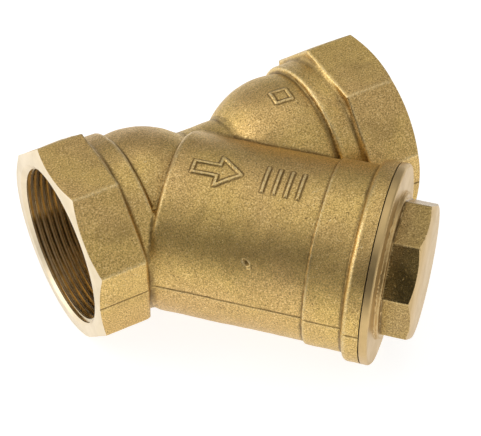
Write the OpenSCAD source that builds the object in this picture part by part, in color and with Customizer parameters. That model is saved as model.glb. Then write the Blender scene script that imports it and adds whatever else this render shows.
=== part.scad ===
// Y strainer with 2 inch threaded ports: a straight run along +X and a slanted branch
// that leaves it towards +X and -Y. Millimetres.
// The origin is the centre of the inlet face, and +Z is square to the plane of both axes.

/* [Run] */
// Inlet face to outlet face
run_len = 129.2; // [128:0.1:131]
// Inlet face to the point where the branch axis crosses the run axis
cross_x = 33.9; // [33:0.1:34.5]
// Width across the flats of both octagonal ports
port_flats = 69; // [68.5:0.1:71]
// Length of the inlet octagon
inlet_port_len = 19.2; // [18.5:0.1:20]
// Length of the outlet octagon
outlet_port_len = 20.6; // [20:0.1:21.5]
// Radius on an end face where its turned chamfer starts
port_chamfer_r = 34.2; // [33.5:0.1:34.2]
// Radius of the round collar behind each octagon
collar_r = 32.7; // [32.4:0.1:33]
// Length of each collar
collar_len = 8.8; // [8:0.1:9.5]
// Radius of the domes that close the run's two chambers
dome_r = 31.1; // [30.8:0.1:31.5]
// Inlet face to the centre of the inlet dome
inlet_dome_at = 33.6; // [33:0.1:34.5]
// Outlet face to the centre of the outlet dome
outlet_dome_at = 36.9; // [36:0.1:37.5]
// Radius of the neck between the domes
neck_r = 22.65; // [22:0.05:23]

/* [Port threads, G 2] */
// Minor diameter of the internal thread
port_minor_d = 56.66; // [56.6:0.01:56.8]
// Usable length of the internal thread
port_thread_len = 17; // [15:0.5:17]
// Diameter of the relief behind the thread
port_relief_d = 60.2; // [60:0.1:60.6]

/* [Branch] */
// Angle between the branch axis and the run axis
branch_angle = 45; // [44.5:0.1:45.5]
// Outer radius of the branch barrel
barrel_r = 32.5; // [32.2:0.1:32.8]
// Crossing of the axes to the closed end of the barrel
barrel_from = 12; // [11:0.1:12.5]
// Crossing to the step where the barrel thickens round the cap thread
step_at = 67.3; // [66:0.1:68]
// Outer radius of the thick part
thick_r = 33.4; // [33.2:0.1:33.6]
// Outer radius of the flange at the mouth, and of the cap flange
flange_r = 36; // [35.6:0.1:36.4]
// Crossing to the open face of the mouth
mouth_at = 87.7; // [87.5:0.1:88]

/* [Cap] */
// Gap that shows between the two flanges when the cap is tight
flange_gap = 0.4; // [0.3:0.05:0.5]
// Thickness of the cap flange
cap_flange_t = 2.9; // [2.7:0.1:3.1]
// Nominal diameter of the cap thread
cap_thread_d = 60; // [59.8:0.1:60.2]
// Length of the threaded spigot under the flange
spigot_len = 14.6; // [13:0.1:14.6]
// Width across the flats of the octagonal head
head_flats = 47; // [46:0.1:48]
// Crossing to the end of the head
head_to = 103; // [102:0.1:104]
// Angle of the head when the cap is tight
head_turn = 25.9; // [0:0.1:45]

/* [Screen] */
// Outer diameter of the perforated tube
screen_d = 44; // [43.8:0.1:44]
// Thickness of the perforated sheet
screen_t = 0.7; // [0.6:0.05:0.8]
// Thickness of the wire mesh inside the tube
mesh_t = 0.3; // [0.25:0.05:0.3]

/* [Hidden] */
$fn = 96;
octagon_half = 22.5;
overlap = 2;

// casting walls
wall = 3.8;
inlet_chamber_r = 27;
outlet_chamber_r = 27.3;
outlet_bore_r = 25;
cast_round = 1.4;
foot_round = 1.8;
barrel_end_round = 2.6;
lead_in = 0.5;
port_minor_r = port_minor_d / 2;
port_relief_r = port_relief_d / 2;
relief_len = 2.6;
chamfer_slope = tan(30);
// a cylinder that runs into a sphere is this much slimmer, so that the two cross cleanly
seam_step = 0.05;
// and a ball is turned this far about its axis, for the same reason
ball_turn = 40;

// branch stations, measured from the crossing of the axes
annulus_r = 28.8;
annulus_from = 15.5;
diaphragm_r = 30.6;
seat_opening_r = 20.8;
opening_from = 10;
seat_at = 19;
seat_bore_r = 23;
seat_to = 22.5;
seat_boss_r = 26;
thread_from = 71.5;
gasket_floor = mouth_at - 1.1;
gasket_pocket_r = 33.2;
flange_back = mouth_at - 6.3;
flange_edge_r = 2.4;

// cap stations and fits
run_fit = 0.06;
cap_thread_r = cap_thread_d / 2;
cap_from = mouth_at + flange_gap;
spigot_r = cap_thread_r - run_fit;
spigot_from = cap_from - spigot_len;
spigot_bore_r = 25.6;
socket_r = 23.08;
socket_from = 84;
socket_floor = 90;
core_r = 17;
core_to = 97;
rim_round = 1;
boss_r = 26.3;
boss_to = cap_from + cap_flange_t + 1.6;
head_chamfer_r = head_flats / 2 - 0.1;

// gasket and screen
gasket_in_r = 30.35;
gasket_out_r = 32.9;
gasket_t = 1.45;
tube_r = screen_d / 2;
tube_bore_r = tube_r - screen_t;
mesh_gap = 0.05;
mesh_r = tube_bore_r - mesh_gap;
ring_t = 0.85;
ring_gap = 0.07;
ring_in_r = 20.25;
seat_ring_from = seat_at + 0.1;
seat_ring_len = 5.4;
base_ring_to = socket_floor - 0.3;
base_ring_len = 5.2;
tube_from = seat_ring_from + ring_t + ring_gap;
tube_to = base_ring_to - ring_t - ring_gap;

cast_brass = "#a9884a";
turned_brass = "#d3b27a";
gasket_grey = "#3a3a38";
steel = "#b9bcbe";
mesh_steel = "#8f9396";

// Points along an arc about [r, z], from angle a0 to a1
function arc(r, z, radius, a0, a1, steps) = [
    for (i = [0 : steps])
        let (a = a0 + (a1 - a0) * i / steps)
            [r + radius * cos(a), z + radius * sin(a)]
];

// Stand children on the run axis, with their Z along it
module on_run(x = 0) {
    translate([x, 0, 0])
        rotate([0, 90, 0])
            children();
}

// Stand children on the branch axis, with their Z away from the crossing
module on_branch(s = 0) {
    translate([cross_x, 0, 0])
        rotate([0, 90, -branch_angle])
            translate([0, 0, s])
                children();
}

// Octagonal prism with two of its flats square to its own X axis
module octagon(flats, length) {
    rotate([0, 0, octagon_half])
        cylinder(r = flats / 2 / cos(octagon_half), h = length, $fn = 8);
}

// One end of the casting: octagon, collar and dome, with the end face at z = 0
module cast_end(port_len, dome_at) {
    corner_r = port_flats / 2 / cos(octagon_half);
    drop = (corner_r + 1 - port_chamfer_r) * chamfer_slope;
    collar_to = port_len + collar_len;
    intersection() {
        octagon(port_flats, port_len);
        rotate_extrude()
            polygon([
                [0, 0],
                [port_chamfer_r, 0],
                [corner_r + 1, drop],
                [corner_r + 1, port_len - drop / 2],
                [corner_r + 1 - drop / 2 / chamfer_slope, port_len],
                [0, port_len]
            ]);
    }
    rotate_extrude()
        polygon(concat(
            [[0, port_len - overlap], [collar_r + foot_round, port_len - overlap]],
            arc(collar_r + foot_round, port_len + foot_round, foot_round, 270, 180, 5),
            arc(collar_r - cast_round, collar_to - cast_round, cast_round, 0, 90, 5),
            [[dome_r - seam_step, collar_to], [dome_r - seam_step, dome_at], [0, dome_at]]
        ));
    translate([0, 0, dome_at])
        rotate([0, 0, ball_turn])
            sphere(r = dome_r);
}

// Barrel of the branch with its closed rounded end, thick part and flange
module cast_branch() {
    on_branch()
        rotate_extrude()
            polygon(concat(
                [[0, barrel_from]],
                arc(barrel_r - barrel_end_round, barrel_from + barrel_end_round,
                    barrel_end_round, 270, 360, 6),
                [[barrel_r, step_at], [thick_r, step_at + 0.7], [thick_r, flange_back]],
                arc(flange_r - flange_edge_r, flange_back + flange_edge_r,
                    flange_edge_r, 275, 360, 6),
                [[flange_r, mouth_at], [0, mouth_at]]
            ));
}

// Threaded port and the bore behind it, with the end face at z = 0
module port_bore(bore_r, chamber_r, chamber_at) {
    relief_to = port_thread_len + lead_in + relief_len;
    rotate_extrude()
        polygon([
            [0, -overlap],
            [port_minor_r + lead_in, -overlap],
            [port_minor_r + lead_in, 0],
            [port_minor_r, lead_in],
            [port_minor_r, lead_in + port_thread_len],
            [port_relief_r, lead_in + port_thread_len],
            [port_relief_r, relief_to - 1],
            [bore_r, relief_to],
            [bore_r, chamber_at],
            [0, chamber_at]
        ]);
    translate([0, 0, chamber_at])
        rotate([0, 0, ball_turn])
            sphere(r = chamber_r);
}

// Everything upstream of the screen: the port, the chamber and the opening of the seat
module inlet_space() {
    on_run()
        port_bore(inlet_chamber_r - seam_step, inlet_chamber_r, cross_x);
    on_branch(opening_from)
        cylinder(r = seat_opening_r, h = diaphragm_r + overlap - opening_from);
    on_branch(seat_at)
        cylinder(r = seat_bore_r, h = seat_to - seat_at + overlap);
}

// Everything downstream of the screen, short of the wall round the inlet chamber
module outlet_space() {
    difference() {
        union() {
            translate([run_len, 0, 0])
                mirror([1, 0, 0])
                    on_run()
                        port_bore(outlet_bore_r, outlet_chamber_r, outlet_dome_at);
            on_run(cross_x + diaphragm_r - overlap)
                cylinder(r = neck_r - wall, h = run_len - outlet_dome_at - cross_x - diaphragm_r);
            on_branch(annulus_from)
                cylinder(r = annulus_r, h = thread_from - annulus_from + overlap);
        }
        on_branch()
            rotate([0, 0, ball_turn])
                sphere(r = diaphragm_r);
        on_branch(annulus_from - overlap)
            cylinder(r = seat_boss_r, h = seat_to - annulus_from + overlap);
    }
}

// Mouth of the branch: the plain bore that stands for the cap thread, and the gasket pocket
module mouth_space() {
    on_branch()
        rotate_extrude()
            polygon([
                [0, thread_from],
                [cap_thread_r, thread_from],
                [cap_thread_r, gasket_floor - 0.7],
                [cap_thread_r + 0.7, gasket_floor],
                [gasket_pocket_r, gasket_floor],
                [gasket_pocket_r, mouth_at + overlap],
                [0, mouth_at + overlap]
            ]);
}

module body() {
    color(cast_brass)
        difference() {
            union() {
                on_run()
                    cast_end(inlet_port_len, inlet_dome_at);
                translate([run_len, 0, 0])
                    mirror([1, 0, 0])
                        on_run()
                            cast_end(outlet_port_len, outlet_dome_at);
                on_run(inlet_dome_at + 10)
                    cylinder(r = neck_r, h = run_len - outlet_dome_at - inlet_dome_at - 20);
                cast_branch();
            }
            inlet_space();
            outlet_space();
            mouth_space();
        }
}

module cap() {
    face_at = cap_from + cap_flange_t;
    head_drop = (head_flats / 2 / cos(octagon_half) + 1 - head_chamfer_r) * chamfer_slope;
    color(turned_brass)
        on_branch() {
            difference() {
                union() {
                    rotate_extrude()
                        polygon(concat(
                            [
                                [0, spigot_from],
                                [spigot_r - 1, spigot_from],
                                [spigot_r, spigot_from + 1],
                                [spigot_r, cap_from],
                                [flange_r - 0.3, cap_from],
                                [flange_r, cap_from + 0.3]
                            ],
                            arc(flange_r - rim_round, face_at - rim_round, rim_round, 0, 90, 5),
                            [[boss_r, face_at + 0.3], [boss_r, boss_to], [0, boss_to]]
                        ));
                    intersection() {
                        translate([0, 0, boss_to - overlap])
                            rotate([0, 0, head_turn - octagon_half])
                                octagon(head_flats, head_to - boss_to + overlap);
                        rotate_extrude()
                            polygon([
                                [0, boss_to - 2 * overlap],
                                [head_flats, boss_to - 2 * overlap],
                                [head_flats, head_to - head_drop],
                                [head_chamfer_r + head_drop / chamfer_slope, head_to - head_drop],
                                [head_chamfer_r, head_to],
                                [0, head_to]
                            ]);
                    }
                }
                rotate_extrude()
                    polygon([
                        [0, spigot_from - overlap],
                        [spigot_bore_r, spigot_from - overlap],
                        [spigot_bore_r, socket_from],
                        [socket_r, socket_from],
                        [socket_r, socket_floor],
                        [core_r, socket_floor],
                        [core_r, core_to - 2],
                        [core_r - 2, core_to],
                        [0, core_to]
                    ]);
            }
        }
}

module cap_gasket() {
    color(gasket_grey)
        on_branch(gasket_floor)
            difference() {
                cylinder(r = gasket_out_r, h = gasket_t);
                translate([0, 0, -1])
                    cylinder(r = gasket_in_r, h = gasket_t + 2);
            }
}

module screen_tube() {
    color(steel)
        on_branch(tube_from)
            difference() {
                cylinder(r = tube_r, h = tube_to - tube_from);
                translate([0, 0, -1])
                    cylinder(r = tube_bore_r, h = tube_to - tube_from + 2);
            }
}

module screen_mesh() {
    color(mesh_steel)
        on_branch(tube_from)
            difference() {
                cylinder(r = mesh_r, h = tube_to - tube_from);
                translate([0, 0, -1])
                    cylinder(r = mesh_r - mesh_t, h = tube_to - tube_from + 2);
            }
}

// Channel ring folded over one end of the screen, web at z = 0
module end_ring(outer_r, length) {
    inner_wall_r = mesh_r - mesh_t - ring_gap;
    rotate_extrude()
        polygon([
            [ring_in_r, 0],
            [outer_r, 0],
            [outer_r, length],
            [tube_r + ring_gap, length],
            [tube_r + ring_gap, ring_t],
            [inner_wall_r, ring_t],
            [inner_wall_r, length - 1],
            [ring_in_r, length - 1]
        ]);
}

module screen_seat_ring() {
    color(steel)
        on_branch(seat_ring_from)
            end_ring(seat_bore_r - 0.08, seat_ring_len);
}

module screen_base_ring() {
    color(steel)
        on_branch(base_ring_to)
            mirror([0, 0, 1])
                end_ring(socket_r - 0.08, base_ring_len);
}

body();
cap();
cap_gasket();
screen_tube();
screen_mesh();
screen_seat_ring();
screen_base_ring();
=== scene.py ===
"""Looks of the y strainer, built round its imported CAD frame.

Lengths are in millimetres until a mesh is made. The casting and the cap come from a field of
distances, whose zero surface is meshed and refined. Machined faces, bores and threads are then cut
into them with turned cutters.
"""

import math

import bmesh
import bpy
import numpy as np
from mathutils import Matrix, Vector


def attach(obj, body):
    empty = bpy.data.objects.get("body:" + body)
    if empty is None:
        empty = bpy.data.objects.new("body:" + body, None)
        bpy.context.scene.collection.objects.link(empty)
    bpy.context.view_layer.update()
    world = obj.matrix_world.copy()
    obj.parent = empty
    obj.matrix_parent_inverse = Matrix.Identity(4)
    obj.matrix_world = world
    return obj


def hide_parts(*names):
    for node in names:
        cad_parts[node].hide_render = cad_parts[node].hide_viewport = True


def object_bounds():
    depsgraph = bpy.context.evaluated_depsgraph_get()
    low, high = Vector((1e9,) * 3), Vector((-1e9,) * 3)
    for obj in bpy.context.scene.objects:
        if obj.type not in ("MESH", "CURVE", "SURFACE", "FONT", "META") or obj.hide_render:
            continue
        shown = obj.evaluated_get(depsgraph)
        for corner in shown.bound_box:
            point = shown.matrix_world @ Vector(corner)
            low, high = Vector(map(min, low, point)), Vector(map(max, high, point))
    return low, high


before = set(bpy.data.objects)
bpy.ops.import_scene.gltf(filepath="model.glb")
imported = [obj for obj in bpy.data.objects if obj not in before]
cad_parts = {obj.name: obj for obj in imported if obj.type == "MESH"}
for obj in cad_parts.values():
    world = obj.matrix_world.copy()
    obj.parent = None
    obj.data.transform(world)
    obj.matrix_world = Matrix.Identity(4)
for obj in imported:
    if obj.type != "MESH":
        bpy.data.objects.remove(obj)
cad_low, cad_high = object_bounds()

MM = 0.001
HALF = math.sqrt(0.5)
TURN = 2 * math.pi

# run of the casting
RUN_LEN = 129.2
CROSS_X = 33.9
PORT_HALF = 34.5
PORT_LENS = (19.2, 20.6)
DOME_AT = (33.6, 36.9)
COLLAR_R = 32.7
COLLAR_LEN = 8.8
DOME_R = 31.1
NECK_R = 22.65
CHAMFER_R = 34.2
PORT_EDGE, PORT_CORNER = 0.9, 1.0
COLLAR_EDGE, COLLAR_FILLET = 1.3, 1.9
DOME_FILLET, NECK_FILLET = 1.0, 0.9

# branch of the casting, along s from the crossing of the axes
BARREL_FROM = 12.0
BARREL_R = 32.5
STEP_AT = 67.3
THICK_R = 33.4
FLANGE_BACK = 81.4
FLANGE_R = 36.0
MOUTH_AT = 87.7
BARREL_EDGE = 1.9
STEP_EDGE, STEP_FILLET = 0.4, 0.35
FLANGE_EDGE, FLANGE_FILLET = 2.0, 1.0
BRANCH_FILLET = 1.1

# past the mouth: where the branch's field and its cutters end
PAST_MOUTH = 96
CUTTER_TO = 97

# inside of the casting: for each port its bore, and its round chamber's centre and radius
PORT_BORE_R = (27.0, 25.0)
CHAMBER_AT = (CROSS_X, DOME_AT[1])
CHAMBER_R = (27.05, 27.3)
# wall round the inlet chamber, the way round the screen, and the way from it to the outlet
WALL_R = 30.6
WAY_FROM, WAY_TO, WAY_R = 15.5, 73.5, 28.8
OUTLET_WAY_FROM, OUTLET_WAY_TO, OUTLET_WAY_R = 58, 96, 18.85
# opening in that wall, and the screen's seat behind it
OPENING_R = 20.8
SEAT_AT, SEAT_R, SEAT_TO = 19, 23, 34
SEAT_WALL_R, SEAT_WALL_TO = 26, 22.5
# gasket pocket in the mouth
POCKET_AT, POCKET_R = 86.6, 33.2

# cap, along s too: flange, shoulder and octagonal head
CAP_FROM = 88.1
CAP_FACE = 91.0
BOSS_R = 26.3
BOSS_TO = 92.6
HEAD_HALF = 23.5
HEAD_TO = 103.0
HEAD_TURN = math.radians(41.6)
# where the head's flats start
FOOT_AT = BOSS_TO + 0.2
# its spigot with a plain neck, and its hollow with the screen's socket
SPIGOT_FROM = 73.5
SPIGOT_TO = 86.3
SPIGOT_R = 29.95
SPIGOT_NECK_R = 28.7
HOLLOW_R = 25.6
SOCKET_FROM, SOCKET_TO, SOCKET_R = 84, 90, 23.08
HEAD_HOLLOW_R, HEAD_HOLLOW_TO = 17, 97

# gasket
GASKET_FROM, GASKET_TO = 86.62, 88.03
GASKET_IN_R, GASKET_OUT_R = 30.42, 32.85

# screen: ends of its sheet and of its two rings, along s
SHEET_FROM, SHEET_TO = 20.02, 88.78
SEAT_RING_FROM, BASE_RING_TO = 19.1, 89.7

# port threads: pitch, crest and root radius, length
PORT_PITCH = 2.309
PORT_CREST_R = 28.33
PORT_ROOT_R = 29.81
PORT_THREAD_LEN = 17.5
# cap threads: both helices start at one place, so that they stay in mesh as the cap turns
CAP_PITCH = 2.0
CAP_THREAD_FROM = 71.9
MOUTH_THREAD_R = (28.6, 30.05)
SPIGOT_THREAD_R = (28.45, 29.9)

# edge loops round the branch, where its step and its flange turn
BRANCH_LOOPS = (66.9, 67.3, 67.7, 80.4, 80.9, 81.4, 82.1, 83.4)

# material slots of the casting and of the cap
CAST, CUT, THREAD = 0, 1, 2


# ---- frames and fields


def to_branch(p):
    """Points (x, y, z) as (s, t, z): s along the branch, t across it in the plane of both axes."""
    dx = p[:, 0] - CROSS_X
    return np.stack([(dx - p[:, 1]) * HALF, (dx + p[:, 1]) * HALF, p[:, 2]], 1)


def from_branch(q):
    """The inverse of to_branch."""
    return np.stack(
        [CROSS_X + (q[:, 0] + q[:, 1]) * HALF, (q[:, 1] - q[:, 0]) * HALF, q[:, 2]], 1
    )


def octagon(a, b, half):
    """Distance to a regular octagon with flats at half, two of them square to the first axis."""
    c, s, t = math.cos(math.pi / 8), math.sin(math.pi / 8), math.tan(math.pi / 8)
    a, b = np.abs(a), np.abs(b)
    for sign in (-1, 1):
        d = 2 * np.minimum(sign * c * a + s * b, 0)
        a, b = a - d * sign * c, b - d * s
    a = a - np.clip(a, -t * half, t * half)
    b = b - half
    return np.hypot(a, b) * np.sign(b)


def bar(along, outline, start, end, edge):
    """Distance to a prism with rounded end edges, from the distance to its outline."""
    u = outline + edge
    w = np.abs(along - (start + end) / 2) - (end - start) / 2 + edge
    outside = np.hypot(np.maximum(u, 0), np.maximum(w, 0))
    return np.minimum(np.maximum(u, w), 0) + outside - edge


def rod(along, radial, start, end, radius, edge):
    """Distance to a round bar with rounded end edges."""
    return bar(along, radial - radius, start, end, edge)


def join(a, b, fillet):
    """Union of two fields with a fillet of that radius."""
    return np.maximum(fillet, np.minimum(a, b)) - np.hypot(
        np.maximum(fillet - a, 0), np.maximum(fillet - b, 0)
    )


def smooth(x, low, high):
    """0 below low, 1 above high."""
    w = np.clip((x - low) / (high - low), 0, 1)
    return w * w * (3 - 2 * w)


def port_end(x, y, z, which):
    """One end of the run, with its face at x = 0: octagon, collar and dome.

    The octagon starts before the face, which is cut later, and the collar inside the octagon.
    """
    radial = np.hypot(y, z)
    length, dome_at = PORT_LENS[which], DOME_AT[which]
    outline = octagon(y, z, PORT_HALF - PORT_CORNER) - PORT_CORNER
    shape = bar(x, outline, -3, length, PORT_EDGE)
    collar = rod(x, radial, 4, length + COLLAR_LEN, COLLAR_R, COLLAR_EDGE)
    shape = join(shape, collar, COLLAR_FILLET)
    return join(shape, np.hypot(x - dome_at, radial) - DOME_R, DOME_FILLET)


def casting(p):
    """Outer skin of the casting, without its small relief."""
    x, y, z = p.T
    radial = np.hypot(y, z)
    s, t, _ = to_branch(p).T
    around = np.hypot(t, z)
    run = port_end(x, y, z, 0)
    # the neck ends inside both domes
    run = join(run, rod(x, radial, 30, 95, NECK_R, 1), NECK_FILLET)
    run = join(run, port_end(RUN_LEN - x, y, z, 1), NECK_FILLET)
    branch = rod(s, around, BARREL_FROM, PAST_MOUTH, BARREL_R, BARREL_EDGE)
    branch = join(branch, rod(s, around, STEP_AT, PAST_MOUTH, THICK_R, STEP_EDGE), STEP_FILLET)
    flange = rod(s, around, FLANGE_BACK, PAST_MOUTH, FLANGE_R, FLANGE_EDGE)
    branch = join(branch, flange, FLANGE_FILLET)
    return join(run, branch, BRANCH_FILLET)


# waviness of a sand casting: plane waves of seeded direction, length and phase
draws = np.random.default_rng(7)
WAVES = []
for low, high, height in ((16, 34, 0.035), (7, 14, 0.016), (3.5, 6, 0.008)):
    for _ in range(9):
        way = draws.normal(size=3)
        way *= TURN / draws.uniform(low, high) / np.linalg.norm(way)
        WAVES.append((way, draws.uniform(0, TURN), height))


def waviness(p):
    """Height of the waves at each point."""
    return sum(height * np.sin(p @ way + phase) for way, phase, height in WAVES)


def strokes(a, b, lines, half):
    """Distance to a set of strokes of that half width, each ((a0, b0), (a1, b1))."""
    best = np.full(len(a), 1e3)
    for (a0, b0), (a1, b1) in lines:
        da, db = a1 - a0, b1 - b0
        along = np.clip(((a - a0) * da + (b - b0) * db) / (da * da + db * db), 0, 1)
        best = np.minimum(best, np.hypot(a - a0 - along * da, b - b0 - along * db))
    return best - half


def loop(points):
    """Strokes that close a polygon."""
    return list(zip(points, points[1:] + points[:1]))


# raised marks in (s, arc) on the barrel, arc counted from the top: a flow arrow and four plain bars
ARROW = loop(
    [(20.5, -5.6), (29.5, -5.6), (29.5, -9.4), (37.5, -3.2), (29.5, 3.0), (29.5, -0.8), (20.5, -0.8)]
)
BARS = [((46.0 + 4.2 * i, -8.0), (46.0 + 4.2 * i, 2.6)) for i in range(4)]
BARREL_MARKS = ARROW + BARS
MARK_BOX = ((18.5, 60.5), (-12.0, 5.5))
MARK_HALF, MARK_HEIGHT = 0.55, 0.5
# slope of a mark's side: from below its edge to above it
MARK_SIDE = (-0.28, 0.22)
# a small outline on the outlet's dome, at (x, y), seen from +z
PAD_AT = (90.5, 1.0)
PAD = loop([(-3, -2.6), (3, -3.4), (3.4, 2.4), (-2.4, 3.2)])
PAD_HALF, PAD_HEIGHT = 0.5, 0.4
# the parting line at z = 0, a groove with a slight step
PARTING_DEPTH, PARTING_STEP = 0.16, 0.06
# a nick with a raised lip in the barrel, at (s, arc)
NICK_AT = (46.2, math.radians(30.8) * BARREL_R)
NICK_DEPTH, LIP_HEIGHT = 0.75, 0.25


def arc_of(q):
    """Arc length round the barrel, from the -t side towards +z."""
    return np.arctan2(q[:, 2], -q[:, 1]) * BARREL_R


def relief(p):
    """Height of the raised marks, the parting line and the nick."""
    q = to_branch(p)
    arc = arc_of(q)
    from_top = arc - math.pi / 2 * BARREL_R
    on_barrel = smooth(np.hypot(q[:, 1], q[:, 2]), 30.5, 31.5)
    marks = strokes(q[:, 0], from_top, BARREL_MARKS, MARK_HALF)
    height = MARK_HEIGHT * smooth(-marks, *MARK_SIDE) * on_barrel
    pad = strokes(p[:, 0] - PAD_AT[0], p[:, 1] - PAD_AT[1], PAD, PAD_HALF)
    height += PAD_HEIGHT * smooth(-pad, *MARK_SIDE) * (p[:, 2] > 20)
    height -= PARTING_DEPTH * smooth(-np.abs(p[:, 2]), -0.42, -0.2)
    height -= PARTING_STEP * smooth(p[:, 2], -0.3, 0.3)
    across, along = arc - NICK_AT[1], q[:, 0] - NICK_AT[0]
    nick = np.hypot(along / 1.3, (across + 0.5 * along) / 0.9)
    lip = np.hypot((along - 1.2) / 0.8, (across + 1.5) / 0.7)
    height += LIP_HEIGHT * smooth(-lip, -1.3, -0.4) * on_barrel
    return height - NICK_DEPTH * smooth(-nick, -1.2, -0.4) * on_barrel


def dressed(field, p):
    """Trims what would stand proud of the octagons' +y flats and of the flange's rim."""
    return np.maximum(field, np.maximum(p[:, 1] - PORT_HALF, np.abs(p[:, 2]) - FLANGE_R) + 0.01)


def skin(p):
    """Outer skin of the casting."""
    return dressed(casting(p) - waviness(p) - relief(p), p)


def head_frame(p):
    """Points as (s, radius, a, b), where a and b are the axes of the head's octagon."""
    q = to_branch(p)
    c, s = math.cos(HEAD_TURN), math.sin(HEAD_TURN)
    a = -q[:, 1] * c + q[:, 2] * s
    b = q[:, 1] * s + q[:, 2] * c
    return q[:, 0], np.hypot(q[:, 1], q[:, 2]), a, b


def cap_field(p):
    """Flange, shoulder and octagonal head of the cap. The last two start inside the flange."""
    s, radial, a, b = head_frame(p)
    corner = 0.5
    flange = rod(s, radial, SPIGOT_FROM + 8, CAP_FACE, FLANGE_R, 1.0)
    shoulder = rod(s, radial, CAP_FACE - 3, BOSS_TO, BOSS_R, 0.5)
    outline = octagon(a, b, HEAD_HALF - corner) - corner
    head = bar(s, outline, CAP_FACE - 4, HEAD_TO + 1, 0.35)
    return join(join(flange, shoulder, 0.25), head, 0.45)


def cap_skin(p):
    """Outer skin of the cap, with a finer waviness than the casting's."""
    return dressed(cap_field(p) + 0.03 - 0.35 * waviness(p * 1.7), p)


# ---- meshing


def gradient(field, p, step=0.03):
    """Slope of a field, by central differences."""
    g = np.empty_like(p)
    for k, d in enumerate(np.eye(3) * step):
        g[:, k] = (field(p + d) - field(p - d)) / (2 * step)
    return g


def settle(field, p, rounds=3):
    """Moves points onto the zero surface of a field."""
    for _ in range(rounds):
        g = gradient(field, p)
        size = np.maximum((g * g).sum(1), 0.05)
        move = g * (field(p) / size)[:, None]
        length = np.linalg.norm(move, axis=1, keepdims=True)
        p = p - move * np.minimum(1, 0.8 / np.maximum(length, 1e-9))
    return p


def surface_net(field, low, high, cell, place=None):
    """Quads round the zero surface: (points, faces). place turns grid points into (x, y, z)."""
    axes = [np.arange(a, b + cell, cell) for a, b in zip(low, high)]
    grid = np.stack(np.meshgrid(*axes, indexing="ij"), -1)
    shape = grid.shape[:3]
    flat = grid.reshape(-1, 3)
    values = np.empty(len(flat))
    for i in range(0, len(flat), 400_000):
        part = flat[i : i + 400_000]
        values[i : i + 400_000] = field(place(part) if place else part)
    v = values.reshape(shape)
    inside = v < 0
    strides = np.array([shape[1] * shape[2], shape[2], 1])
    cells, spots, quads = [], [], []
    for k in range(3):
        first = [slice(None)] * 3
        second = [slice(None)] * 3
        first[k], second[k] = slice(None, -1), slice(1, None)
        first, second = tuple(first), tuple(second)
        hit = np.argwhere(inside[first] != inside[second])
        start = v[first][tuple(hit.T)]
        end = v[second][tuple(hit.T)]
        spot = hit.astype(float)
        spot[:, k] += start / (start - end)
        one, two = [j for j in range(3) if j != k]
        ring = []
        for da, db in ((0, 0), (-1, 0), (-1, -1), (0, -1)):
            c = hit.copy()
            c[:, one] += da
            c[:, two] += db
            ring.append(c @ strides)
            cells.append(ring[-1])
            spots.append(spot)
        ring = np.stack(ring, 1)
        outward = (start < 0) == (k != 1)
        ring[~outward] = ring[~outward][:, ::-1]
        quads.append(ring)
    cells, spots, quads = np.concatenate(cells), np.concatenate(spots), np.concatenate(quads)
    used, index = np.unique(cells, return_inverse=True)
    count = np.bincount(index)
    points = np.stack([np.bincount(index, spots[:, k]) / count for k in range(3)], 1)
    points = np.array(low) + points * cell
    if place:
        points = place(points)
    return points, np.searchsorted(used, quads)


def relax(field, points, quads, rounds):
    """Evens out a net and keeps it on its surface."""
    a = quads.ravel()
    b = np.roll(quads, -1, 1).ravel()
    ends, others = np.concatenate([a, b]), np.concatenate([b, a])
    count = np.bincount(ends, minlength=len(points))[:, None]
    for _ in range(rounds):
        mean = np.stack([np.bincount(ends, points[others, k], len(points)) for k in range(3)], 1)
        points = settle(field, points * 0.4 + mean / count * 0.6, 1)
    return settle(field, points, 3)


def mesh_of(name, points, faces, slots=None):
    """A mesh in metres from points in millimetres."""
    mesh = bpy.data.meshes.new(name)
    mesh.from_pydata((np.asarray(points) * MM).tolist(), [], [list(map(int, f)) for f in faces])
    if slots is not None:
        mesh.polygons.foreach_set("material_index", np.asarray(slots, np.int32))
    mesh.update()
    return mesh


def piece(name, data):
    """A mesh, a lamp or a camera as an object of the scene."""
    obj = bpy.data.objects.new(name, data)
    bpy.context.scene.collection.objects.link(obj)
    return obj


def values_of(items, name, kind, width=1):
    """One property of many mesh elements, as an array."""
    values = np.empty(len(items) * width, kind)
    items.foreach_get(name, values)
    return values


def points_of(mesh):
    """A mesh's points in millimetres."""
    return values_of(mesh.vertices, "co", float, 3).reshape(-1, 3) / MM


def put_points(mesh, points):
    """Moves a mesh's points. Millimetres."""
    mesh.vertices.foreach_set("co", (points * MM).astype(np.float32).ravel())
    mesh.update()


def face_outward(mesh):
    """Turns all faces of a closed mesh outwards."""
    bm = bmesh.new()
    bm.from_mesh(mesh)
    bmesh.ops.recalc_face_normals(bm, faces=bm.faces)
    bm.to_mesh(mesh)
    bm.free()


def slice_faces(bm, chosen, point, normal):
    """Adds an edge loop where a plane crosses the chosen faces. Millimetres."""
    faces = [f for f in bm.faces if chosen(f.calc_center_median() / MM)]
    geom = set(faces)
    for f in faces:
        geom.update(f.edges)
        geom.update(f.verts)
    bmesh.ops.bisect_plane(
        bm, geom=list(geom), dist=2e-6, plane_co=Vector(point) * MM, plane_no=Vector(normal)
    )


def refine(bm, chosen, times):
    """Halves the faces of a region, so that small relief is shaped there."""
    for _ in range(times):
        edges = {e for f in bm.faces if chosen(f.calc_center_median() / MM) for e in f.edges}
        bmesh.ops.subdivide_edges(bm, edges=list(edges), cuts=1, use_grid_fill=True)


# ---- turned cutters


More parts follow.
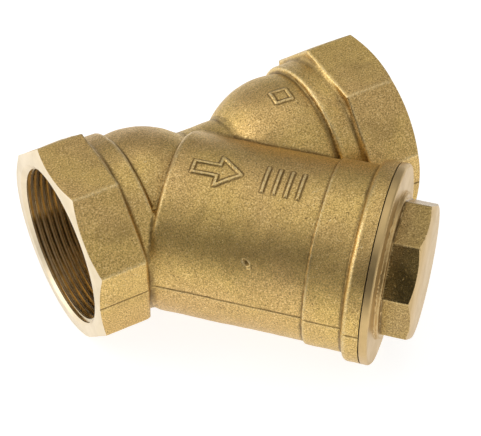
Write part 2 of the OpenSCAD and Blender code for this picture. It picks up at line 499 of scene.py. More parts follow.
def lathe(profile, steps, slots, place):
    """Closed turned solid. profile is (along, radius) points; it starts and ends on the axis."""
    turn = np.arange(steps) / steps * TURN
    points, faces, marks = [], [], []
    rings = []
    for along, radius in profile:
        if radius < 1e-6:
            rings.append([len(points)])
            points.append((along, 0, 0))
        else:
            rings.append(list(range(len(points), len(points) + steps)))
            points += [(along, radius * math.cos(a), radius * math.sin(a)) for a in turn]
    for i, slot in enumerate(slots):
        one, two = rings[i], rings[i + 1]
        for j in range(steps):
            k = (j + 1) % steps
            if len(one) == 1:
                faces.append((one[0], two[j], two[k]))
            elif len(two) == 1:
                faces.append((one[j], two[0], one[k]))
            else:
                faces.append((one[j], two[j], two[k], one[k]))
            marks.append(slot)
    return place(np.array(points, float)), faces, marks


def helix(start, end, pitch, radii, steps, rows, place):
    """Closed threaded solid between two radii, with steps round each turn and rows to each pitch."""
    count = int(math.ceil((end - start) / pitch)) * rows
    points = []
    for i in range(count + 1):
        for j in range(steps):
            along = start + (i / rows + j / steps) * pitch
            a = j / steps * TURN
            r = thread_radius((i % rows) / rows, *radii)
            points.append((along, r * math.cos(a), r * math.sin(a)))
    grid = np.arange((count + 1) * steps).reshape(count + 1, steps)
    faces = []
    for i in range(count):
        for j in range(steps - 1):
            faces.append((grid[i, j], grid[i + 1, j], grid[i + 1, j + 1], grid[i, j + 1]))
    for i in range(count - rows):
        faces.append(
            (grid[i, -1], grid[i + 1, -1], grid[i + rows + 1, 0], grid[i + rows, 0])
        )
    first = list(grid[0]) + [grid[i, 0] for i in range(rows, 0, -1)]
    last = list(grid[count]) + [grid[i, -1] for i in range(count - 1, count - rows - 1, -1)]
    ends = ((first, start + pitch / 2, True), (last, start + (count / rows + 0.5) * pitch, False))
    for ring, along, near in ends:
        hub = len(points)
        points.append((along, 0, 0))
        for m in range(len(ring)):
            pair = (ring[m], ring[(m + 1) % len(ring)])
            faces.append((hub, *pair) if near else (hub, *pair[::-1]))
    return place(np.array(points, float)), faces, [THREAD] * len(faces)


def on_run(p):
    """Lathe coordinates to the run, from the inlet face inwards."""
    return p


def on_run_back(p):
    """Lathe coordinates to the run, from the outlet face inwards."""
    return np.stack([RUN_LEN - p[:, 0], -p[:, 1], p[:, 2]], 1)


def on_branch(p):
    """Lathe coordinates to the branch."""
    return from_branch(p)


def give_slots(obj, source):
    """Gives an object that has no material slots those of another."""
    for m in source.data.materials:
        obj.data.materials.append(m)


def boolean(target, how, solid):
    """Cuts, adds or intersects with a solid (points, faces, slots) or an object, which is used up."""
    tool = piece("cutter", mesh_of("cutter", *solid)) if isinstance(solid, tuple) else solid
    face_outward(tool.data)
    if not tool.data.materials:
        give_slots(tool, target)
    mod = target.modifiers.new("cutter", "BOOLEAN")
    mod.operation, mod.solver, mod.object = how, "MANIFOLD", tool
    bpy.context.view_layer.update()
    made = bpy.data.meshes.new_from_object(
        target.evaluated_get(bpy.context.evaluated_depsgraph_get())
    )
    target.modifiers.clear()
    target.data = made
    bpy.data.objects.remove(tool)


def thread_radius(share, low, high):
    """Radius over a thread's pitch, with rounded crests and roots. share is from 0 to 1."""
    w = abs(share * 2 - 1)
    return low + (high - low) * float(smooth(np.array(w), 0.08, 0.92))


def ball_arc(centre, radius, start, end, count):
    """Arc of a lathe profile about a point of the axis. Angles are from +along."""
    angles = np.linspace(math.radians(start), math.radians(end), count)
    return [(centre + radius * math.cos(a), max(radius * math.sin(a), 0.0)) for a in angles]


def port_cutter(bore_r, chamber_at, chamber_r):
    """Countersink, thread bore, relief, bore and rounded chamber of one port."""
    end = PORT_THREAD_LEN
    profile = [(-4, 0), (-4, 30.3), (0, 30.3), (1.6, PORT_CREST_R), (end, PORT_CREST_R)]
    profile += [(end + 0.1, 30.1), (end + 1.6, 30.1), (end + 2.6, bore_r + 0.6), (end + 3.3, bore_r)]
    profile += [(chamber_at - 0.8, bore_r)] + ball_arc(chamber_at, chamber_r, 92, 0, 14)
    return profile, [CUT] * 4 + [THREAD] * 4 + [CAST] * (len(profile) - 9)


def face_cutter(place):
    """What lies before an end face and outside its turned chamfer."""
    out = 46
    drop = (out - CHAMFER_R) * math.tan(math.radians(30))
    profile = [(-9, 0), (-9, out), (drop, out), (0, CHAMFER_R), (0, 0)]
    return lathe(profile, 192, [CUT] * 4, place)


def smooth_faces(obj, angle=35):
    """Smooth shading, with edges sharper than the angle kept."""
    obj.data.polygons.foreach_set("use_smooth", np.ones(len(obj.data.polygons), bool))
    obj.data.set_sharp_from_angle(angle=math.radians(angle))


def shade_skin(obj, field, slot=None):
    """Gives faces on the skin the field's own normals, and stores edge wear and hollow darkening (dirt
    together with painted shade) from its curvature.

    With a slot, only the faces in that material slot get the normals.
    """
    mesh = obj.data
    smooth_faces(obj)
    p = points_of(mesh)
    near = np.abs(field(p)) < 0.06
    normals = gradient(field, p, 0.08)
    normals /= np.maximum(np.linalg.norm(normals, axis=1, keepdims=True), 1e-9)
    at = values_of(mesh.loops, "vertex_index", np.int32)
    own = values_of(mesh.corner_normals, "vector", np.float32, 3).reshape(-1, 3)
    corners = values_of(mesh.polygons, "loop_total", np.int32)
    slots = np.repeat(values_of(mesh.polygons, "material_index", np.int32), corners)
    chosen = (slots == slot) | (slot is None)
    swap = chosen & near[at] & ((own * normals[at]).sum(1) > 0.5)
    own[swap] = normals[at][swap]
    mesh.normals_split_custom_set(own.tolist())
    step = 0.7
    bend = -6 * field(p)
    for d in np.eye(3) * step:
        bend += field(p + d) + field(p - d)
    bend = np.where(near, bend / step**2, 0)
    # the second attribute darkens concave hollows: dirt together with painted shade where grooves and
    # fillet feet fall in shadow
    for name, values in (("wear", smooth(bend, 0.12, 0.75)), ("dirt_and_shade", smooth(-bend, 0.10, 0.7))):
        layer = mesh.attributes.new(name, "FLOAT", "POINT")
        layer.data.foreach_set("value", values.astype(np.float32))


# ---- the casting


def octagon_planes(low, high):
    """Edge loops where an octagon's rounded corners start and where they are sharpest."""
    edge = (PORT_HALF - PORT_CORNER) * math.tan(math.pi / 8)
    for k in range(8):
        a = k * math.pi / 4
        flat = Vector((0, math.cos(a), math.sin(a)))
        side = Vector((0, -math.sin(a), math.cos(a)))
        for sign in (-1, 1):
            yield (
                lambda c, f=flat, s=side, g=sign: low < c.x < high
                and c.dot(f) > PORT_HALF - 1.9
                and 0 < g * c.dot(s) < 18,
                side * sign * edge,
                side,
            )
    for k in range(8):
        a = (k + 0.5) * math.pi / 4
        way = Vector((0, math.cos(a), math.sin(a)))
        side = Vector((0, -math.sin(a), math.cos(a)))
        yield (
            lambda c, w=way, s=side: low < c.x < high and c.dot(w) > 33 and abs(c.dot(s)) < 3,
            (0, 0, 0),
            side,
        )


def slice_across_branch(bm, s, reach, least_r):
    """An edge loop round the branch at s, in faces within reach of it and beyond a radius."""
    slice_faces(
        bm,
        lambda c: abs((c.x - CROSS_X - c.y) * HALF - s) < reach
        and (c.x - CROSS_X + c.y) ** 2 / 2 + c.z**2 > least_r**2,
        (CROSS_X + s * HALF, -s * HALF, 0),
        (HALF, -HALF, 0),
    )


def marked(c):
    """True near the raised marks and the nick."""
    q = to_branch(np.array([c]))
    arc = arc_of(q)[0]
    from_top = arc - math.pi / 2 * BARREL_R
    (s0, s1), (a0, a1) = MARK_BOX
    if np.hypot(q[0, 1], q[0, 2]) > 31 and s0 < q[0, 0] < s1 and a0 < from_top < a1:
        return strokes(q[:, 0], np.array([from_top]), BARREL_MARKS, MARK_HALF)[0] < 1.3
    if c.z > 24 and abs(c.x - PAD_AT[0]) < 5.5 and abs(c.y - PAD_AT[1]) < 5.5:
        return True
    return abs(q[0, 0] - NICK_AT[0]) < 3 and abs(arc - NICK_AT[1]) < 2.2


def cast_skin():
    """The closed outer skin of the casting, before anything is cut."""
    low, high = (-5.5, -96.5, -38.0), (RUN_LEN + 5.5, 37.5, 38.0)
    points, quads = surface_net(casting, low, high, 1.0)
    points = relax(casting, points, quads, 3)
    body = piece("body_casting", mesh_of("body_casting", points, quads))
    bm = bmesh.new()
    bm.from_mesh(body.data)
    for z in (-0.44, -0.2, 0.2, 0.44):
        slice_faces(bm, lambda c: abs(c.z) < 2.5, (0, 0, z), (0, 0, 1))
    for low_x, high_x in ((-4, 20.5), (RUN_LEN - 22, RUN_LEN + 4)):
        for chosen, point, normal in octagon_planes(low_x, high_x):
            slice_faces(bm, chosen, point, normal)
    for s in BRANCH_LOOPS:
        slice_across_branch(bm, s, 2.5, 31)
    refine(bm, marked, 2)
    bm.to_mesh(body.data)
    bm.free()
    put_points(body.data, settle(skin, points_of(body.data), 4))
    return body


def cut_port(body, place, which):
    """Faces one end of the run and bores and threads it."""
    boolean(body, "DIFFERENCE", face_cutter(place))
    profile, slots = port_cutter(PORT_BORE_R[which], CHAMBER_AT[which], CHAMBER_R[which])
    boolean(body, "DIFFERENCE", lathe(profile, 160, slots, place))
    radii = (PORT_CREST_R - 0.4, PORT_ROOT_R)
    boolean(body, "DIFFERENCE", helix(-2.6, 15.4, PORT_PITCH, radii, 160, 12, place))


def cut_water_ways(body):
    """Hollows the casting round the screen and on to the outlet, and bores the screen's seat."""
    way = [(WAY_FROM, 0), (WAY_FROM, WAY_R), (WAY_TO, WAY_R), (WAY_TO, 0)]
    ways = piece("ways", mesh_of("ways", *lathe(way, 144, [CAST] * 3, on_branch)))
    give_slots(ways, body)
    to = OUTLET_WAY_TO
    outlet = [(OUTLET_WAY_FROM, 0), (OUTLET_WAY_FROM, OUTLET_WAY_R), (to, OUTLET_WAY_R), (to, 0)]
    boolean(ways, "UNION", lathe(outlet, 96, [CAST] * 3, on_run))
    wall = ball_arc(0, WALL_R, 180, 0, 49)
    boolean(ways, "DIFFERENCE", lathe(wall, 120, [CAST] * 48, on_branch))
    seat_wall = [(10, 0), (10, SEAT_WALL_R), (SEAT_WALL_TO, SEAT_WALL_R), (SEAT_WALL_TO, 0)]
    boolean(ways, "DIFFERENCE", lathe(seat_wall, 120, [CAST, CAST, CUT], on_branch))
    boolean(body, "DIFFERENCE", ways)
    seat = [(8, 0), (8, OPENING_R), (SEAT_AT, OPENING_R), (SEAT_AT, SEAT_R)]
    seat += [(SEAT_TO, SEAT_R), (SEAT_TO, 0)]
    boolean(body, "DIFFERENCE", lathe(seat, 120, [CUT] * 5, on_branch))


def cut_mouth(body):
    """Faces the branch, with its gasket pocket and the cap's thread."""
    mouth = [(71.5, 0), (71.5, 28.95), (85.6, 28.95), (POCKET_AT, 30.4), (POCKET_AT, POCKET_R)]
    mouth += [(MOUTH_AT, POCKET_R), (MOUTH_AT, 37.4), (CUTTER_TO, 37.4), (CUTTER_TO, 0)]
    boolean(body, "DIFFERENCE", lathe(mouth, 192, [CAST, THREAD] + [CUT] * 6, on_branch))
    thread = helix(CAP_THREAD_FROM, 86.4, CAP_PITCH, MOUTH_THREAD_R, 144, 10, on_branch)
    boolean(body, "DIFFERENCE", thread)


def blank_slots(obj):
    """Three material slots, so that the cutters' faces keep their own."""
    for k in range(3):
        obj.data.materials.append(bpy.data.materials.new(f"slot_{k}"))


def build_casting():
    body = cast_skin()
    blank_slots(body)
    cut_port(body, on_run, 0)
    cut_port(body, on_run_back, 1)
    cut_water_ways(body)
    cut_mouth(body)
    shade_skin(body, skin, CAST)
    return body


# ---- the cap


def cap_top():
    """The closed skin of the cap's flange and head."""
    low, high = (80.0, -38.0, -38.0), (105.0, 38.0, 38.0)
    points, quads = surface_net(cap_field, low, high, 0.7, from_branch)
    points = relax(cap_field, points, quads, 3)
    cap = piece("cap_turned", mesh_of("cap_turned", points, quads))
    bm = bmesh.new()
    bm.from_mesh(cap.data)
    slice_across_branch(bm, FOOT_AT, 2, 0)
    bm.to_mesh(cap.data)
    bm.free()
    put_points(cap.data, settle(cap_skin, points_of(cap.data), 4))
    return cap


def cap_spigot(cap):
    """The threaded spigot, with a plain neck that runs up into the flange."""
    thread = helix(CAP_THREAD_FROM, CAP_FROM, CAP_PITCH, SPIGOT_THREAD_R, 144, 10, on_branch)
    spigot = piece("spigot", mesh_of("spigot", *thread))
    give_slots(spigot, cap)
    blank = [(SPIGOT_FROM, 0), (SPIGOT_FROM, 28.6), (SPIGOT_FROM + 1.2, SPIGOT_R)]
    blank += [(SPIGOT_TO, SPIGOT_R), (SPIGOT_TO, 0)]
    boolean(spigot, "INTERSECT", lathe(blank, 144, [CUT] * 4, on_branch))
    neck = [(85.4, 0), (85.4, SPIGOT_NECK_R), (CAP_FROM + 1, SPIGOT_NECK_R), (CAP_FROM + 1, 0)]
    boolean(spigot, "UNION", lathe(neck, 144, [CUT] * 3, on_branch))
    return spigot


def build_cap():
    cap = cap_top()
    blank_slots(cap)
    crown_r, out = HEAD_HALF - 0.1, 30
    drop = (out - crown_r) * math.tan(math.radians(30))
    crown = [(HEAD_TO, 0), (HEAD_TO, crown_r), (HEAD_TO - drop, out), (HEAD_TO + 6, out), (HEAD_TO + 6, 0)]
    boolean(cap, "DIFFERENCE", lathe(crown, 160, [CUT] * 4, on_branch))
    under = [(70, 0), (70, 40), (CAP_FROM, 40), (CAP_FROM, 0)]
    boolean(cap, "DIFFERENCE", lathe(under, 160, [CUT] * 3, on_branch))
    boolean(cap, "UNION", cap_spigot(cap))
    inside = [(72, 0), (72, HOLLOW_R), (SOCKET_FROM, HOLLOW_R), (SOCKET_FROM, SOCKET_R)]
    inside += [(SOCKET_TO, SOCKET_R), (SOCKET_TO, HEAD_HOLLOW_R), (HEAD_HOLLOW_TO - 2, HEAD_HOLLOW_R)]
    inside += [(HEAD_HOLLOW_TO, HEAD_HOLLOW_R - 2), (HEAD_HOLLOW_TO, 0)]
    boolean(cap, "DIFFERENCE", lathe(inside, 144, [CUT] * 8, on_branch))
    # the flange and the shoulder are machined, and only the head is left as cast
    for poly in cap.data.polygons:
        if poly.material_index == CAST and to_branch(np.array([poly.center]) / MM)[0, 0] < FOOT_AT:
            poly.material_index = CUT
    shade_skin(cap, cap_skin)
    return cap


# ---- gasket and screen


def turned_ring(name, outline, steps):
    """Closed ring from a closed outline of (s, radius) points, turned about the branch."""
    turn = np.arange(steps) / steps * TURN
    rows = np.array(
        [[(s, r * math.cos(a), r * math.sin(a)) for s, r in outline] for a in turn]
    ).reshape(-1, 3)
    n = len(outline)
    faces = [
        (j * n + i, j * n + (i + 1) % n, (j + 1) % steps * n + (i + 1) % n, (j + 1) % steps * n + i)
        for j in range(steps)
        for i in range(n)
    ]
    ring = piece(name, mesh_of(name, from_branch(rows), faces))
    face_outward(ring.data)
    smooth_faces(ring, 30)
    return ring


def rounded(outline, radius):
    """Rounds the corners of a closed outline."""
    made, steps = [], 3
    pts = [np.array(p, float) for p in outline]
    for before, at, after in zip(pts[-1:] + pts[:-1], pts, pts[1:] + pts[:1]):
        reach = min(radius, np.linalg.norm(before - at) * 0.45, np.linalg.norm(after - at) * 0.45)
        one = at + (before - at) / np.linalg.norm(before - at) * reach
        two = at + (after - at) / np.linalg.norm(after - at) * reach
        for i in range(steps + 1):
            w = i / steps
            made.append(tuple((1 - w) ** 2 * one + 2 * w * (1 - w) * at + w * w * two))
    return made


def end_ring(name, start, way, outer_r, length):
    """Channel ring folded over one end of the screen, with its inner wall 1 mm shorter."""
    lip_r, channel_in_r, channel_out_r, web = 20.25, 20.88, 22.07, 0.85
    outline = [(0, lip_r), (0, outer_r), (length, outer_r), (length, channel_out_r)]
    outline += [(web, channel_out_r), (web, channel_in_r), (length - 1, channel_in_r), (length - 1, lip_r)]
    outline = [(start + way * s, r) for s, r in outline]
    return turned_ring(name, rounded(outline, 0.28), 160)


def screen_sheet(start, end):
    """Perforated tube: staggered round holes between two plain bands."""
    outer_r, inner_r, hole_r, columns, row_pitch, band = 22.0, 21.3, 0.78, 62, 2.5, 6.0
    wide = TURN / columns
    rows = int((end - start - 2 * band) / row_pitch)
    tall = (end - start - 2 * band) / rows
    first = start + band
    rim = [(i / 4, 0) for i in range(4)] + [(1, i / 4) for i in range(4)]
    rim += [(1 - i / 4, 1) for i in range(4)] + [(0, 1 - i / 4) for i in range(4)]
    mean_r = (outer_r + inner_r) / 2
    spots, lookup, faces = [], {}, []

    def spot(angle, s, r):
        """Index of the point there, which neighbouring faces share."""
        share = round(angle / TURN * columns * 1000) % (columns * 1000)
        key = (share, round(s * 1000), round(r * 100))
        if key not in lookup:
            lookup[key] = len(spots)
            spots.append((s, r * math.cos(angle), r * math.sin(angle)))
        return lookup[key]

    def both(corners):
        """A face on the outer and one on the inner side."""
        faces.append([spot(a, s, outer_r) for a, s in corners])
        faces.append([spot(a, s, inner_r) for a, s in corners[::-1]])

    def plain(angle, low, high, parts):
        """One column's width of sheet without a hole."""
        for i in range(4):
            for j in range(parts):
                a0, a1 = angle + wide * i / 4, angle + wide * (i + 1) / 4
                s0, s1 = (low + (high - low) * k / parts for k in (j, j + 1))
                both([(a0, s0), (a1, s0), (a1, s1), (a0, s1)])

    for c in range(columns):
        angle, shift = c * wide, (c % 2) * 0.5
        plain(angle, start, first, 1)
        plain(angle, end - band, end, 1)
        if c % 2:
            plain(angle, first, first + tall / 2, 2)
            plain(angle, end - band - tall / 2, end - band, 2)
        for k in range(rows - c % 2):
            s0 = first + (k + shift) * tall
            edge, hole = [], []
            for u, v in rim:
                edge.append((angle + u * wide, s0 + v * tall))
                turn = math.atan2((v - 0.5) * tall, (u - 0.5) * wide * mean_r)
                hole.append(
                    (
                        angle + wide / 2 + hole_r * math.cos(turn) / mean_r,
                        s0 + tall / 2 + hole_r * math.sin(turn),
                    )
                )
            for i in range(16):
                j = (i + 1) % 16
                both([edge[i], edge[j], hole[j], hole[i]])
                wall = [(*hole[i], outer_r), (*hole[j], outer_r), (*hole[j], inner_r), (*hole[i], inner_r)]
                faces.append([spot(*corner) for corner in wall])
        for i in range(4):
            for s, flip in ((start, 1), (end, -1)):
                a0, a1 = angle + wide * i / 4, angle + wide * (i + 1) / 4
                rim_face = [(a0, s, outer_r), (a0, s, inner_r), (a1, s, inner_r), (a1, s, outer_r)]
                faces.append([spot(*corner) for corner in rim_face][::flip])
    tube = piece("screen_sheet", mesh_of("screen_sheet", from_branch(np.array(spots)), faces))
    smooth_faces(tube, 30)
    return tube


def screen_weave(start, end):
    """Woven wire liner: wires along the tube and rings across them, over and under."""
    centre_r, swing, wire_r, count, pitch, margin = 21.1, 0.07, 0.075, 84, 1.6, 0.3
    rings = int((end - start - 2 * margin) / pitch)
    spots, faces = [], []

    def tube(path, side_way, closed):
        """A four-sided wire along a path of (s, radius, angle). side_way is (along, around)."""
        ds, da = side_way
        base = len(spots)
        for s, r, a in path:
            for k in range(4):
                q = k * math.pi / 2
                side, out = math.cos(q) * wire_r, math.sin(q) * wire_r
                rr, aa, ss = r + out, a + side * da / r, s + side * ds
                spots.append((ss, rr * math.cos(aa), rr * math.sin(aa)))
        n = len(path)
        for i in range(n if closed else n - 1):
            for k in range(4):
                j, m = (i + 1) % n, (k + 1) % 4
                faces.append((base + i * 4 + k, base + i * 4 + m, base + j * 4 + m, base + j * 4 + k))
        if not closed:
            faces.append([base + k for k in (3, 2, 1, 0)])
            faces.append([base + (n - 1) * 4 + k for k in range(4)])

    for i in range(count):
        path = []
        for j in range(2 * rings + 1):
            lift = 0 if j % 2 == 0 else swing * (-1) ** (i + j // 2)
            path.append((start + margin + j * pitch / 2, centre_r + lift, i / count * TURN))
        tube(path, (0, 1), False)
    for j in range(rings):
        path = []
        for i in range(2 * count):
            lift = 0 if i % 2 else -swing * (-1) ** (i // 2 + j)
            path.append((start + margin + (j + 0.5) * pitch, centre_r + lift, i / 2 / count * TURN))
        tube(path, (1, 0), True)
    weave = piece("screen_weave", mesh_of("screen_weave", from_branch(np.array(spots)), faces))
    face_outward(weave.data)
    smooth_faces(weave, 60)
    return weave


# ---- materials


class Nodes:
    """A node tree, built by short calls."""

    def __init__(self, tree):
        self.tree = tree

    def put(self, socket, source):
        """Links a socket to another one, or sets its value."""
        if isinstance(source, bpy.types.NodeSocket):
            self.tree.links.new(source, socket)
        else:
            socket.default_value = source

    def node(self, kind, **inputs):
        """A new node with some of its inputs linked or set."""
        made = self.tree.nodes.new("ShaderNode" + kind)
        for name, source in inputs.items():
            self.put(made.inputs[name.replace("_", " ")], source)
        return made

    def remap(self, source, low, high, to_low=0.0, to_high=1.0):
        """Eases a value from one range to another."""
        limits = {"From Min": low, "From Max": high, "To Min": to_low, "To Max": to_high}
        made = self.node("MapRange", Value=source, **limits)
        made.interpolation_type = "SMOOTHSTEP"
        return made.outputs["Result"]

    def math(self, how, a, b, clamp=False):
        """A math node of two values."""
        made = self.node("Math")
        made.operation, made.use_clamp = how, clamp
        self.put(made.inputs[0], a)
        self.put(made.inputs[1], b)
        return made.outputs[0]

    def mix(self, share, a, b, how="MIX"):
        """Mixes two colours, each a tuple or a socket."""
        made = self.node("Mix")
        made.data_type, made.blend_type = "RGBA", how
        self.put(made.inputs[0], share)
        self.put(made.inputs[6], (*a, 1) if isinstance(a, tuple) else a)
        self.put(made.inputs[7], (*b, 1) if isinstance(b, tuple) else b)
        return made.outputs[2]


class Shader(Nodes):
    """A material's nodes."""

    def __init__(self, name, **constants):
        self.material = bpy.data.materials.new(name)
        self.material.use_nodes = True
        super().__init__(self.material.node_tree)
        self.surface = next(n for n in self.tree.nodes if n.type == "BSDF_PRINCIPLED")
        for socket, value in constants.items():
            self.surface.inputs[socket.replace("_", " ")].default_value = value
        self.place = self.node("TexCoord").outputs["Object"]

    def noise(self, size_mm, detail=3.0, rough=0.55, warp=0.0, stretch=None):
        """Noise from 0 to 1 whose features are about size_mm across. stretch is (turn, scale)."""
        place = self.place
        if stretch:
            turned = self.node("Mapping", Vector=place, Rotation=stretch[0], Scale=stretch[1])
            place = turned.outputs["Vector"]
        made = self.node(
            "TexNoise",
            Vector=place, Scale=1 / (size_mm * MM), Detail=detail, Roughness=rough, Distortion=warp,
        )
        return made.outputs["Fac"]

    def layer(self, name):
        """A value stored on the mesh."""
        made = self.node("Attribute")
        made.attribute_name = name
        return made.outputs["Fac"]

    def rings(self, centre_mm, turn, pitch_mm):
        """Turning marks about an axis, which is X turned by turn about Z."""
        mapping = self.node("Mapping", Vector=self.place, Rotation=(0, 0, turn))
        mapping.vector_type = "TEXTURE"
        mapping.inputs["Location"].default_value = [c * MM for c in centre_mm]
        wave = self.node(
            "TexWave",
            Vector=mapping.outputs["Vector"], Scale=0.314 / (pitch_mm * MM), Distortion=0.6, Detail=2.0,
            Detail_Scale=3.0,
        )
        wave.wave_type, wave.rings_direction = "RINGS", "X"
        return wave.outputs["Fac"]

    def bump(self, heights):
        """Bumps on top of each other. heights are (source, height in millimetres)."""
        normal = None
        for source, height in heights:
            made = self.node("Bump", Strength=1.0, Distance=height * MM, Height=source)
            if normal is not None:
                self.put(made.inputs["Normal"], normal)
            normal = made.outputs["Normal"]
        self.put(self.surface.inputs["Normal"], normal)

    def finish(self, colour, roughness):
        """Sets the surface, and gives the finished material."""
        self.put(self.surface.inputs["Base Color"], colour)
        self.put(self.surface.inputs["Roughness"], roughness)
        return self.material


# linear colours of the cast skin
RED_BRASS = (0.695, 0.465, 0.18)
YELLOW_BRASS = (0.735, 0.51, 0.17)
BROWN_BRASS = (0.58, 0.38, 0.132)
PIT_BROWN = (0.2, 0.125, 0.045)
# brown of darkened hollows: dirt together with painted shade
DIRT_AND_SHADE_BROWN = (0.17, 0.105, 0.038)


def darker(colour, share):
    return tuple(c * share for c in colour)


def cast_brass(name, rough, worn, level):
    """Sand-blasted brass: sandy grain, pits, scuffs, broken bright edges and hollows darkened by dirt
    together with painted shade.

    worn is the colour of bright edges, and level the brightness of the rest.
    """
    m = Shader(name, Metallic=1.0)
    patches = m.remap(m.noise(30, 2.0, 0.5, 0.4), 0.35, 0.65)
    blotches = m.noise(5, 3.0, 0.6)
    grain = m.noise(0.5, 4.0, 0.75)
    pits = m.remap(m.noise(0.8, 2.0, 0.6), 0.62, 0.72)
    specks = m.remap(m.noise(0.5, 1.0, 0.5), 0.62, 0.70)
    coarse = m.remap(m.noise(22, 1.0, 0.5), 0.42, 0.62)
    colour = m.mix(patches, RED_BRASS, YELLOW_BRASS)
    colour = m.mix(m.remap(blotches, 0.3, 0.7, 0.0, 0.35), colour, BROWN_BRASS)
    tone = m.remap(grain, 0.30, 0.70, 0.46 * level, 1.38 * level)
    colour = m.mix(1.0, colour, tone, "MULTIPLY")
    colour = m.mix(m.math("MULTIPLY", specks, 0.6), colour, worn)
    colour = m.mix(m.math("MULTIPLY", pits, 0.7), colour, PIT_BROWN)
    scuffed = m.remap(m.noise(16, 1.0, 0.5, 0.3), 0.50, 0.66)
    scuffs = m.remap(m.noise(2.2, 2.0, 0.6, 2.5), 0.66, 0.72)
    scuffs = m.math("MULTIPLY", scuffs, scuffed)
    colour = m.mix(m.math("MULTIPLY", scuffs, 0.75), colour, worn)
    broken = m.remap(m.noise(0.8, 2.0, 0.6), 0.36, 0.62, 0.15, 1.0)
    wear = m.math("MULTIPLY", m.layer("wear"), broken, True)
    colour = m.mix(m.math("MULTIPLY", wear, 0.6), colour, worn)
    # hollows darkened: dirt together with painted shade
    dirt_and_shade = m.math("MULTIPLY", m.layer("dirt_and_shade"), m.remap(blotches, 0.2, 0.6, 0.65, 1.0), True)
    colour = m.mix(m.math("MULTIPLY", dirt_and_shade, 0.8), colour, DIRT_AND_SHADE_BROWN)
    roughness = m.remap(grain, 0.3, 0.7, rough + 0.08, rough - 0.06)
    polished = m.math("MULTIPLY", m.math("MAXIMUM", wear, scuffs), 0.12)
    roughness = m.math("SUBTRACT", roughness, polished)
    grain_height = m.math("MULTIPLY", grain, m.remap(coarse, 0, 1, 0.5, 1.0))
    m.bump(
        [
            (blotches, 0.12),
            (grain_height, 0.12),
            (m.math("MULTIPLY", pits, -1.0), 0.05),
            (m.math("MULTIPLY", scuffs, -1.0), 0.04),
        ]
    )
    return m.finish(colour, roughness)


def cut_brass(name, centre, turn, base, rough):
    """Machined brass with turning marks about an axis, which is X turned by turn about Z."""
    m = Shader(name, Metallic=1.0)
    marks = m.rings(centre, turn, 0.32)
    cloud = m.noise(9, 3.0, 0.6)
    fine = m.noise(0.5, 2.0, 0.6)
    colour = m.mix(m.remap(cloud, 0.3, 0.7), base, darker(base, 0.9))
    colour = m.mix(m.remap(fine, 0.62, 0.72, 0, 0.3), colour, darker(base, 0.6))
    colour = m.mix(m.remap(marks, 0.2, 0.9, 0.0, 0.12), colour, darker(base, 0.75))
    m.bump([(marks, 0.004), (fine, 0.008)])
    return m.finish(colour, m.remap(cloud, 0.25, 0.75, rough, rough + 0.1))


def thread_brass(name, base):
    """Cut thread: smooth flanks with fine chatter and a clouded film."""
    m = Shader(name, Metallic=1.0)
    film = m.noise(3.5, 3.0, 0.6)
    chatter = m.noise(0.35, 2.0, 0.5)
    colour = m.mix(m.remap(film, 0.3, 0.75), base, darker(base, 0.82))
    m.bump([(chatter, 0.006)])
    return m.finish(colour, m.remap(chatter, 0.3, 0.7, 0.12, 0.2))


def steel(name, base, grain_mm, rough):
    """Stainless sheet or wire: fine drawn grain and clouded sheen."""
    m = Shader(name, Metallic=1.0)
    along_branch = ((0, 0, math.radians(45)), (0.08, 1, 1))
    drawn = m.noise(grain_mm, 3.0, 0.6, 0.0, along_branch)
    cloud = m.noise(7, 2.0, 0.5)
    colour = m.mix(m.remap(cloud, 0.3, 0.7), base, darker(base, 0.82))
    colour = m.mix(m.remap(drawn, 0.35, 0.7, 0.0, 0.35), colour, darker(base, 0.7))
    m.bump([(drawn, 0.006)])
    return m.finish(colour, m.remap(drawn, 0.3, 0.7, rough, rough + 0.15))


def fibre(name):
    """Pressed fibre gasket: dull, flecked, slightly oily. Its near-black colour is painted shade, standing
    in for the shadow in the gap between cap and body.
    """
    m = Shader(name)
    flecks = m.noise(0.4, 4.0, 0.7)
    cloud = m.noise(6, 2.0, 0.5)
    # near-black colour: painted shade for the dark gap between cap and body
    colour = m.mix(m.remap(cloud, 0.3, 0.7), (0.035, 0.034, 0.032), (0.06, 0.058, 0.054))
    colour = m.mix(m.remap(flecks, 0.6, 0.72, 0, 0.6), colour, (0.13, 0.12, 0.11))
    m.bump([(flecks, 0.03)])
    return m.finish(colour, m.remap(flecks, 0.3, 0.7, 0.7, 0.9))


def dress(obj, *materials):
    """Fills the material slots in order. Clearing them would reset which face uses which."""
    slots = obj.data.materials
    for i, m in enumerate(materials):
        if i < len(slots):
            slots[i] = m
        else:
            slots.append(m)


# ---- pieces

body = build_casting()
dress(
    body,
    cast_brass("cast_brass_skin", 0.44, (0.86, 0.68, 0.36), 1.0),
    cut_brass("cut_brass_faces", (0, 0, 0), 0, (0.87, 0.73, 0.51), 0.3),
    thread_brass("thread_brass_ports", (0.64, 0.50, 0.29)),
)
cap = build_cap()
dress(
    cap,
    cast_brass("cap_head_brass", 0.3, (0.70, 0.52, 0.25), 0.64),
    cut_brass("cap_cut_brass", (CROSS_X, 0, 0), math.radians(-45), (0.66, 0.465, 0.21), 0.36),
    thread_brass("thread_brass_cap", (0.82, 0.62, 0.30)),
)
low_side = [(GASKET_FROM, GASKET_IN_R), (GASKET_TO, GASKET_IN_R)]
high_side = [(GASKET_TO, GASKET_OUT_R), (GASKET_FROM, GASKET_OUT_R)]
gasket = turned_ring("gasket_ring", rounded(low_side + high_side, 0.3), 160)
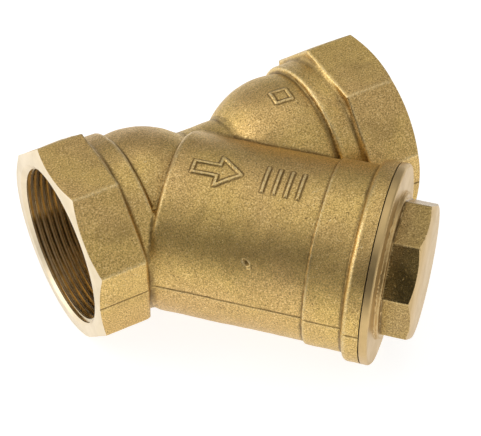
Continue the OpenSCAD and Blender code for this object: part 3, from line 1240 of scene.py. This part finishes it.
# the gasket's near-black colour is painted shade of the gap between cap and body
dress(gasket, fibre("gasket_fibre_shade_dark"))
sheet = screen_sheet(SHEET_FROM, SHEET_TO)
dress(sheet, steel("perforated_steel", (0.62, 0.62, 0.61), 0.5, 0.3))
weave = screen_weave(SHEET_FROM, SHEET_TO)
dress(weave, steel("wire_steel", (0.5, 0.5, 0.49), 0.2, 0.35))
seat_ring = end_ring("seat_ring", SEAT_RING_FROM, 1, 22.92, 5.4)
base_ring = end_ring("base_ring", BASE_RING_TO, -1, 23.0, 5.2)
ring_steel = steel("ring_steel", (0.66, 0.66, 0.65), 0.6, 0.28)
dress(seat_ring, ring_steel)
dress(base_ring, ring_steel)

for made, rides_on, node, slot in (
    (body, "housing", "body", "cast_brass"),
    (cap, "cap", "cap", "cap_brass"),
    (gasket, "gasket", "cap_gasket", "gasket"),
    (sheet, "screen", "screen_tube", "perforated_steel"),
    (weave, "screen", "screen_mesh", "wire_mesh"),
    (seat_ring, "screen", "screen_seat_ring", "ring_steel"),
    (base_ring, "screen", "screen_base_ring", "ring_steel"),
):
    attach(made, rides_on)
    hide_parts(node)


# ---- stage, light and camera


def look_at(obj, spot, aim):
    """Puts a lamp or a camera at a spot, aimed at another."""
    obj.location = Vector(spot)
    obj.rotation_euler = (Vector(aim) - Vector(spot)).to_track_quat("-Z", "Y").to_euler()


def softbox(name, way, distance, width, height, power):
    """A soft lamp that faces the part's middle from one direction."""
    data = bpy.data.lights.new(name, "AREA")
    data.shape, data.size, data.size_y, data.energy = "RECTANGLE", width, height, power
    look_at(piece(name, data), MIDDLE + Vector(way).normalized() * distance, MIDDLE)


MIDDLE = (Vector(cad_low) + Vector(cad_high)) / 2
FLOOR_HALF = 4000
corners = [(FLOOR_HALF * x, FLOOR_HALF * y, 0) for x, y in ((-1, -1), (1, -1), (1, 1), (-1, 1))]
floor = piece("floor", mesh_of("floor", corners, [(0, 1, 2, 3)]))
floor.location.z = cad_low[2] - 0.0002
paper = Shader("floor_paper", Metallic=0.0)
paper.surface.inputs["Specular IOR Level"].default_value = 0.0
paper.surface.inputs["Emission Strength"].default_value = 0.84
paper.surface.inputs["Emission Color"].default_value = (1, 1, 1, 1)
paper_clouds = paper.remap(paper.noise(40, 2.0, 0.5), 0.3, 0.7)
dress(floor, paper.finish(paper.mix(paper_clouds, (0.40, 0.40, 0.40), (0.42, 0.42, 0.42)), 0.9))

world = bpy.data.worlds.new("studio")
bpy.context.scene.world = world
world.use_nodes = True
room = Nodes(world.node_tree)
sky = next(n for n in room.tree.nodes if n.type == "BACKGROUND")
directions = room.node("TexCoord").outputs["Generated"]


def sky_patch(way, inner, outer):
    """1 within inner degrees of a direction, 0 beyond outer degrees."""
    dot = room.node("VectorMath")
    dot.operation = "DOT_PRODUCT"
    room.put(dot.inputs[0], directions)
    room.put(dot.inputs[1], Vector(way).normalized())
    return room.remap(dot.outputs["Value"], math.cos(math.radians(outer)), math.cos(math.radians(inner)))


# the room: a light ceiling, a bright screen behind on the left, a paler one in front on the right and
# a dark corner in front on the left, over grey walls
level = (0.22, 0.22, 0.22)
for way, inner, outer, grey in (
    ((0, 0, 1), 25, 80, 0.72),
    ((-0.785, 0.45, 0.36), 14, 46, 1.9),
    ((0.335, -0.72, 0.50), 15, 45, 0.70),
    ((-0.77, -0.50, 0.36), 24, 48, 0.008),
):
    level = room.mix(sky_patch(way, inner, outer), level, (grey, grey, grey))
room.put(sky.inputs["Color"], level)
room.put(sky.inputs["Strength"], 1.0)

softbox("left_back", (-0.785, 0.45, 0.42), 1.5, 1.1, 0.7, 1.2)
softbox("overhead", (0.1, 0.3, 1.0), 1.8, 1.2, 1.2, 1.6)

camera = piece("camera", bpy.data.cameras.new("camera"))
bpy.context.scene.camera = camera
camera.data.lens, camera.data.sensor_width = 140.61, 36
camera.data.clip_start, camera.data.clip_end = 0.05, 20
look_at(camera, (-0.1617, -0.4276, 0.4825), (0.0634, -0.0187, -0.0005))

bpy.context.scene.view_settings.view_transform = "Standard"
